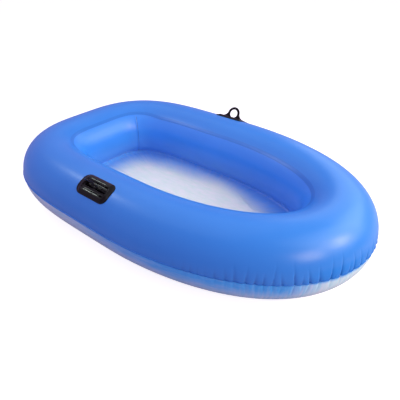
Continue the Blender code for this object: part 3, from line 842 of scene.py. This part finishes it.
def rounded_rectangle(inset):
    """Outline of the oarlock's base, moved in by an inset: an arc at each corner, and as
    many points along each straight side."""
    corner = max(BASE_CORNER - inset, LEAST_CORNER)
    reach = np.array((BASE_LENGTH, BASE_WIDTH)) / 2 - inset - corner
    turn = np.radians(np.linspace(0, 90, OUTLINE_STEPS + 1))
    arcs = []
    for quarter, side in enumerate(((1, 1), (-1, 1), (-1, -1), (1, -1))):
        angle = turn + quarter * math.pi / 2
        arcs.append(side * reach + corner * np.stack((np.cos(angle), np.sin(angle)), 1))
    points = []
    for arc, following in zip(arcs, arcs[1:] + arcs[:1]):
        straight = np.linspace(arc[-1], following[0], OUTLINE_STEPS + 1)
        points += [*arc, *straight[1:-1]]
    return points


def skin(bm, loops):
    """Faces between each closed loop of vertices and the next."""
    for first, second in zip(loops, loops[1:]):
        for i in range(len(first)):
            k = (i + 1) % len(first)
            bm.faces.new((first[i], first[k], second[k], second[i]))


def bent_over_tube(x, y, height):
    """Place of a point of the flat plate once it lies round the tube."""
    angle = y / TUBE_RADIUS
    radius = TUBE_RADIUS + height
    return (x, radius * math.sin(angle), radius * math.cos(angle) - TUBE_RADIUS)


def base_height(x, y, inset):
    """Top surface of the oarlock's base over the film: it swells from a rounded edge to a
    slightly wavy rim, and drops to the panel inside it."""
    height = SEAT_GAP + BASE_THICKNESS
    short = max(EDGE_ROUNDING - inset, 0.0)
    height -= EDGE_ROUNDING - math.sqrt(EDGE_ROUNDING ** 2 - short ** 2)
    # The rim is broader along the sides, and lower at the ends
    sides = smooth_step(abs(y), 0.008, 0.014) * (1 - smooth_step(abs(x), 0.042, 0.060))
    broadening = RIM_BROADENING * sides * np.linspace(0, 1, len(RIM_INSETS))
    rise = np.interp(inset, np.add(RIM_INSETS, broadening), RIM_RISES)
    rise *= 1 - 0.9 * smooth_step(abs(x), 0.048, 0.064)
    wave = 1 + 0.02 * math.sin(190 * x + 2.1) + 0.01 * math.sin(430 * x - 60 * y)
    height += (RIM_HEIGHT - BASE_THICKNESS) * rise * wave
    # Two low ridges hold the ring's root between them
    inside = smooth_step(inset, RIM_END, RIM_END + 0.003)
    return height + RIDGE_HEIGHT * inside * math.exp(-((abs(y) - RIDGE_PLACE) / RIDGE_WIDTH) ** 2)


def make_oarlock_base(name, node, side, material):
    """Moulded plate with a rounded edge and a raised rim, welded to the top film."""
    middle = BASE_WIDTH / 2 - LEAST_CORNER
    insets = [0.0, 0.00008, 0.00035, 0.0007, EDGE_ROUNDING]
    insets += list(np.linspace(RIM_START, RIM_END, 27))
    insets += list(np.linspace(RIM_END, middle, 19))[1:]
    rows = []
    for inset in (middle, RIM_END, 0.0):
        rows.append([bent_over_tube(x, y, SEAT_GAP) for x, y in rounded_rectangle(inset)])
    for inset in insets:
        outline = rounded_rectangle(inset)
        rows.append([bent_over_tube(x, y, base_height(x, y, inset)) for x, y in outline])
    bm = bmesh.new()
    loops = [[bm.verts.new(point) for point in row] for row in rows]
    skin(bm, loops)
    bm.faces.new(loops[0])
    bm.faces.new(loops[-1])
    return finish_bmesh(bm, name, material, oarlock_frame(node, side), smooth_angle=50)


def bell_reach(direction):
    """Distance from the hole's centre to the ring's bell-shaped outline."""
    outer = RING_HOLE + RING_WALL
    half = BASE_LENGTH / 2 - RIM_END - ROOT_END_GAP
    across, up = abs(math.cos(direction)), math.sin(direction)
    rise = RING_CENTRE - FLARE_FOOT - RING_FLARE
    flare_x = math.sqrt((outer + RING_FLARE) ** 2 - rise ** 2)
    if math.atan2(up, across) >= math.atan2(-rise, flare_x):
        return outer
    # Where the ray meets the concave flare, or else the foot line
    best = (RING_CENTRE - ROOT_LOW) / max(-up, 1e-6) if up < 0 else 1e9
    if across > 1e-9:
        best = min(best, half / across)
    along = across * flare_x - up * rise
    gap = along ** 2 - (flare_x ** 2 + rise ** 2 - RING_FLARE ** 2)
    if gap > 0 and along > math.sqrt(gap):
        best = min(best, along - math.sqrt(gap))
    return max(best, outer if up > 0 else 0.0)


def make_oarlock_ring(name, node, side, material):
    """Moulded ring for the oar: a beaded eye on a bell-shaped web with a round root."""
    bm = bmesh.new()
    loops = []
    for turn in range(RING_TURNS):
        direction = 2 * math.pi * turn / RING_TURNS
        reach = bell_reach(direction)
        middle, half = (RING_HOLE + reach) / 2, (reach - RING_HOLE) / 2
        loop = []
        for step in range(RING_SECTION):
            phase = 2 * math.pi * step / RING_SECTION
            # A flattened oval section: round edges and nearly flat faces
            across = math.copysign(abs(math.cos(phase)) ** 0.55, math.cos(phase))
            through = math.copysign(abs(math.sin(phase)) ** 0.75, math.sin(phase))
            radius = middle + half * across
            height = RING_CENTRE + radius * math.sin(direction)
            bead = math.exp(-((radius - RING_HOLE) / BEAD_WIDTH) ** 2)
            foot = math.exp(-((height - ROOT_LOW) / FOOT_WIDTH) ** 2)
            thick = WEB_HALF + BEAD_HALF * bead + FOOT_HALF * foot
            # The root is round, so that it turns clear of the plate
            drop = max(ROOT_AXIS - height, 0.0)
            limit = math.sqrt(max(ROOT_RADIUS ** 2 - drop ** 2, 0.0))
            depth = min(max(thick * through, -limit), limit)
            loop.append(bm.verts.new((radius * math.cos(direction), depth, height)))
        loops.append(loop)
    skin(bm, loops + loops[:1])
    return finish_bmesh(bm, name, material, oarlock_frame(node, side), smooth_angle=60)


# Valve

def valve_frame():
    """Valve axes: local Z points into the cockpit, local Y up; Z = 0 is the flange's back."""
    low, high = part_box("valve_flange")
    back = Vector(((low.x + high.x) / 2, high.y - FLANGE_THICKNESS, (low.z + high.z) / 2))
    return axes_at(back, Vector((-1, 0, 0)), Vector((0, 1, 0)))


def turned(profile):
    """Closed solid of revolution round local Z from (radius, height) points."""
    bm = bmesh.new()
    verts = [bm.verts.new((radius, 0.0, height)) for radius, height in profile]
    edges = [bm.edges.new(pair) for pair in zip(verts, verts[1:] + verts[:1])]
    bmesh.ops.spin(
        bm, geom=verts + edges, cent=(0, 0, 0), axis=(0, 0, 1), angle=2 * math.pi,
        steps=VALVE_TURNS, use_merge=True,
    )
    bmesh.ops.remove_doubles(bm, verts=bm.verts, dist=0.000005)
    return bm


def add_block(bm, size, centre):
    """A block with softened edges in the same mesh."""
    place = Matrix.Translation(centre) @ Matrix.Diagonal((*size, 1.0))
    made = bmesh.ops.create_cube(bm, size=1.0, matrix=place)
    edges = {edge for vert in made["verts"] for edge in vert.link_edges}
    bmesh.ops.bevel(bm, geom=list(edges), offset=min(size) * 0.3, segments=3, affect="EDGES")


def valve_profiles():
    """Sections of the valve's turned pieces, as (radius, height) points."""
    flange = [
        (SLEEVE_BORE, -SLEEVE_LENGTH), (SLEEVE_RADIUS, -SLEEVE_LENGTH), (SLEEVE_RADIUS, 0.0),
        (FLANGE_RADIUS, 0.0), (FLANGE_RADIUS, 0.0004),
        (FLANGE_RADIUS - 0.0007, 0.0009), (FLANGE_RADIUS - 0.0026, 0.0009),
        (FLANGE_RADIUS - 0.0032, FLANGE_THICKNESS), (FLANGE_RADIUS - 0.0052, FLANGE_THICKNESS),
        (FLANGE_RADIUS - 0.0058, 0.0009), (SLEEVE_BORE + 0.0030, 0.0009),
        (SLEEVE_BORE + 0.0022, FLANGE_THICKNESS), (SLEEVE_BORE, FLANGE_THICKNESS),
    ]
    stem = [
        (STEM_BORE, STEM_END), (STEM_RADIUS + 0.0011, STEM_END),
        (STEM_RADIUS + 0.0011, STEM_END + 0.0012), (STEM_RADIUS, STEM_END + 0.0016),
        (STEM_RADIUS, COLLAR_BACK), (COLLAR_RADIUS - 0.0003, COLLAR_BACK),
        (COLLAR_RADIUS, COLLAR_BACK + 0.0003), (COLLAR_RADIUS, COLLAR_FRONT - 0.0005),
        (COLLAR_RADIUS - 0.0005, COLLAR_FRONT), (STEM_BORE + 0.0003, COLLAR_FRONT),
        (STEM_BORE, COLLAR_FRONT - 0.0003),
    ]
    root = STEM_BORE - RUNNING_GAP
    front = CAP_BACK + CAP_THICKNESS
    cap = [
        (0.0, CAP_BACK - PLUG_LENGTH), (root - 0.0016, CAP_BACK - PLUG_LENGTH),
        (root - 0.0010, CAP_BACK - PLUG_LENGTH + 0.0005), (root, CAP_BACK),
        (COLLAR_RADIUS - 0.0003, CAP_BACK), (COLLAR_RADIUS, CAP_BACK + 0.0003),
        (COLLAR_RADIUS, front - 0.0006), (COLLAR_RADIUS - 0.0006, front),
        (0.0052, front), (0.0046, front - 0.0006), (0.0, front - 0.0006),
    ]
    return flange, stem, cap


def make_valve(material):
    """Push-in valve: flange with its sleeve, pull-out stem, cap on its strap, check flap."""
    disc, tube, plug = (turned(profile) for profile in valve_profiles())
    tongue_top = HINGE_OFFSET + 0.0015
    tongue_low = (STEM_RADIUS + COLLAR_RADIUS) / 2
    add_block(
        tube, (STRAP_WIDTH + 0.001, tongue_top - tongue_low, 0.0018),
        (0.0, (tongue_top + tongue_low) / 2, COLLAR_BACK + 0.0009),
    )
    hinge = CAP_BACK + CAP_THICKNESS / 2
    add_block(
        plug, (STRAP_WIDTH, HINGE_OFFSET - STRAP_END, STRAP_THICKNESS),
        (0.0, (HINGE_OFFSET + STRAP_END) / 2, hinge),
    )
    # Finger tab opposite the strap, to pull the cap out by
    add_block(plug, (0.0050, 0.0034, STRAP_THICKNESS), (0.0, -COLLAR_RADIUS - 0.0009, hinge))
    flap = turned([
        (0.0, -FLAP_THICKNESS), (FLAP_RADIUS - 0.0002, -FLAP_THICKNESS),
        (FLAP_RADIUS, -FLAP_THICKNESS / 2), (FLAP_RADIUS - 0.0002, 0.0), (0.0, 0.0),
    ])
    bmesh.ops.translate(flap, verts=flap.verts, vec=(0.0, 0.0, STEM_END - RUNNING_GAP))
    place = valve_frame()
    for name, bm, body, node in (
        ("valve_disc", disc, "hull", "valve_flange"),
        ("valve_tube", tube, "valve_stem", "valve_stem"),
        ("valve_plug", plug, "valve_cap", "valve_cap"),
        ("valve_check_flap", flap, "valve_flap", "valve_flap"),
    ):
        piece = finish_bmesh(bm, name, material, place, smooth_angle=35)
        dress(piece, body, "clear_vinyl", node)


# Scene

def direction_to(azimuth, elevation):
    """Unit vector towards a direction; azimuth 0 is over the bow, 90 over the port side."""
    level = math.cos(elevation)
    return Vector((math.cos(azimuth) * level, math.sin(azimuth) * level, math.sin(elevation)))


def soft_box(name, azimuth, elevation, size, power, colour=LAMP_TINT):
    """Square soft lamp aimed at the boat, from a direction in degrees."""
    data = bpy.data.lights.new(name, "AREA")
    data.size = size
    data.energy = power
    data.color = colour
    away = direction_to(math.radians(azimuth), math.radians(elevation))
    place = Matrix.Translation(LAMP_AIM + away * LAMP_DISTANCE)
    lamp = link_object(name, data)
    lamp.matrix_world = place @ away.to_track_quat("Z", "Y").to_matrix().to_4x4()


def set_world():
    """Even surround light; the camera sees plain white."""
    world = bpy.data.worlds.new("studio")
    bpy.context.scene.world = world
    world.use_nodes = True
    tree = world.node_tree
    tree.nodes.clear()
    rays = add_node(tree, "ShaderNodeLightPath").outputs
    soft = add_node(
        tree, "ShaderNodeBackground",
        {"Color": (*SURROUND_TINT, 1), "Strength": SURROUND_STRENGTH},
    )
    white = add_node(tree, "ShaderNodeBackground", {"Color": (1, 1, 1, 1), "Strength": 1.0})
    both = add_node(tree, "ShaderNodeMixShader", {0: rays["Is Camera Ray"], 1: soft, 2: white})
    add_node(tree, "ShaderNodeOutputWorld", {"Surface": both})


def make_studio_floor():
    """White paper floor; seen directly it is lifted to white, and keeps a soft shadow."""
    half = PAPER_SIZE / 2
    corners = [(x * half, y * half, PAPER_LEVEL) for x, y in ((-1, -1), (1, -1), (1, 1), (-1, 1))]
    mesh = bpy.data.meshes.new("studio_floor")
    mesh.from_pydata(corners, [], [(0, 1, 2, 3)])
    material, tree, _ = start_material("white_paper")
    tree.nodes.clear()
    paper = add_node(tree, "ShaderNodeBsdfDiffuse", {"Color": linear("#c0b8c6")})
    lift = add_node(tree, "ShaderNodeEmission", {"Color": (1, 1, 1, 1), "Strength": 0.84})
    rays = add_node(tree, "ShaderNodeLightPath").outputs
    seen = add_node(tree, "ShaderNodeMixShader", {0: rays["Is Camera Ray"], 2: lift})
    total = add_node(tree, "ShaderNodeAddShader", {0: paper, 1: seen})
    add_node(tree, "ShaderNodeOutputMaterial", {"Surface": total})
    mesh.materials.append(material)
    link_object("studio_floor", mesh)


def make_camera():
    """Camera of the photograph; azimuth 0 would look from the near side straight across."""
    data = bpy.data.cameras.new("camera")
    data.sensor_width = SENSOR
    data.lens = FOCAL_PIXELS * SENSOR / IMAGE_SIZE
    data.shift_x = (IMAGE_SIZE / 2 - AXIS_PIXEL[0]) / IMAGE_SIZE
    data.shift_y = (AXIS_PIXEL[1] - IMAGE_SIZE / 2) / IMAGE_SIZE
    data.clip_start = 0.05
    camera = link_object("camera", data)
    back = direction_to(CAMERA_AZIMUTH - math.pi / 2, CAMERA_ELEVATION)
    camera.matrix_world = axes_at(CAMERA_PLACE, direction_to(CAMERA_AZIMUTH, 0.0), back)
    bpy.context.scene.camera = camera


def make_hull():
    """The hull's films, on one curve; the floor needs fewer stations."""
    # Each blue film's last two colours paint its marks: the paler one welds, and on the wall also
    # a painted highlight and painted light; the darker one lines at weld edges and painted shade
    # in creases and beside a lapped edge
    top_blue = blue_film("blue_pvc_top_film", "#338ae4", "#2c84de", "#3088e1", "#1c62b8")
    wall_blue = blue_film("blue_pvc_wall_film", "#4699f6", "#3e92f0", "#8ac0fe", "#184fa8")
    seam_blue = blue_film("blue_pvc_double_film", "#2c80da", "#2678d2", "#4a9cee", "#2474cc")
    clear_side = clear_film(
        "clear_pvc_underside", "#d2ffff", "#f4ffff", "#46b2ff", alpha=0.9, stretch=(0.2, 0.7, 1.6),
    )
    # The floor's blue tint is painted shade and blue light from the wall
    clear_floor = clear_film(
        "clear_pvc_floor", "#e8fff0", "#fffffa", "#68b8ff", alpha=0.5, stretch=(0.3, 1.0, 1.0),
    )
    stations = Stations(FILM_STATIONS, crowding=0.9)
    coarse = Stations(FLOOR_STATIONS, crowding=0.5)
    bow = bow_share(stations)[:, 0]
    bent = smooth_step(stations.bend, 0.85, 2.2)
    creases = Creases(stations, CREASE_SPACING, bow * np.maximum(bent, 0.45 * bow), seed=11)
    ribs = Creases(stations, RIB_SPACING, 0.25 + 0.75 * bent, seed=5)
    dress(make_top_film(stations, creases, ribs, top_blue), "hull", "blue_top_film", "top_film")
    dress(make_inner_weld(stations, seam_blue), "hull", "blue_top_film", "top_film")
    wall = make_wall_band(stations, wall_blue, valve_frame())
    dress(wall, "hull", "blue_wall_film", "wall_band")
    underside = make_underside(stations, creases, ribs, clear_side)
    dress(underside, "hull", "clear_film", "bottom_sheet")
    dress(make_floor(coarse, clear_floor), "hull", "clear_film", "bottom_sheet")


def make_oarlocks():
    """A base and a ring on each side of the boat."""
    black = moulded_vinyl("moulded_black_pvc", "#020202", "#060606", alpha=1.0, sheen=0.22)
    for side, word in ((1, "port"), (-1, "starboard")):
        node = "oarlock_base_" + word
        base = make_oarlock_base("oarlock_plate_" + word, node, side, black)
        dress(base, "hull", "black_vinyl", node)
        ring = make_oarlock_ring("oarlock_eye_" + word, node, side, black)
        dress(ring, "oarlock_ring_" + word, "black_vinyl", "oarlock_ring_" + word)


def light_studio():
    """Surround light and soft boxes: a key group over the bow, and weak ones elsewhere."""
    set_world()
    soft_box("key", 25, 30, 2.0, 16)
    soft_box("key_high", 10, 45, 1.6, 9)
    soft_box("key_bow", 17, 26, 0.7, 14, WARM_TINT)
    soft_box("key_low", -13, 23.5, 0.7, 12, WARM_TINT)
    soft_box("side_port", 85, 30, 1.8, 10)
    soft_box("side_bow", 50, 30, 1.2, 10)
    soft_box("overhead", 178, 68, 3.2, 18)
    # A small lamp for the glints on the near oarlock
    soft_box("spark", 198, 44, 0.22, 4)
    soft_box("fill_stern", 235, 25, 2.5, 3)
    soft_box("fill_starboard", 270, 12, 3.0, 1)


def main():
    make_hull()
    make_oarlocks()
    clear = moulded_vinyl("moulded_clear_pvc", "#c9dcec", "#dcebf6", alpha=0.7, sheen=0.5)
    make_valve(clear)
    make_studio_floor()
    make_camera()
    light_studio()
    bpy.context.scene.view_settings.view_transform = "Standard"


main()
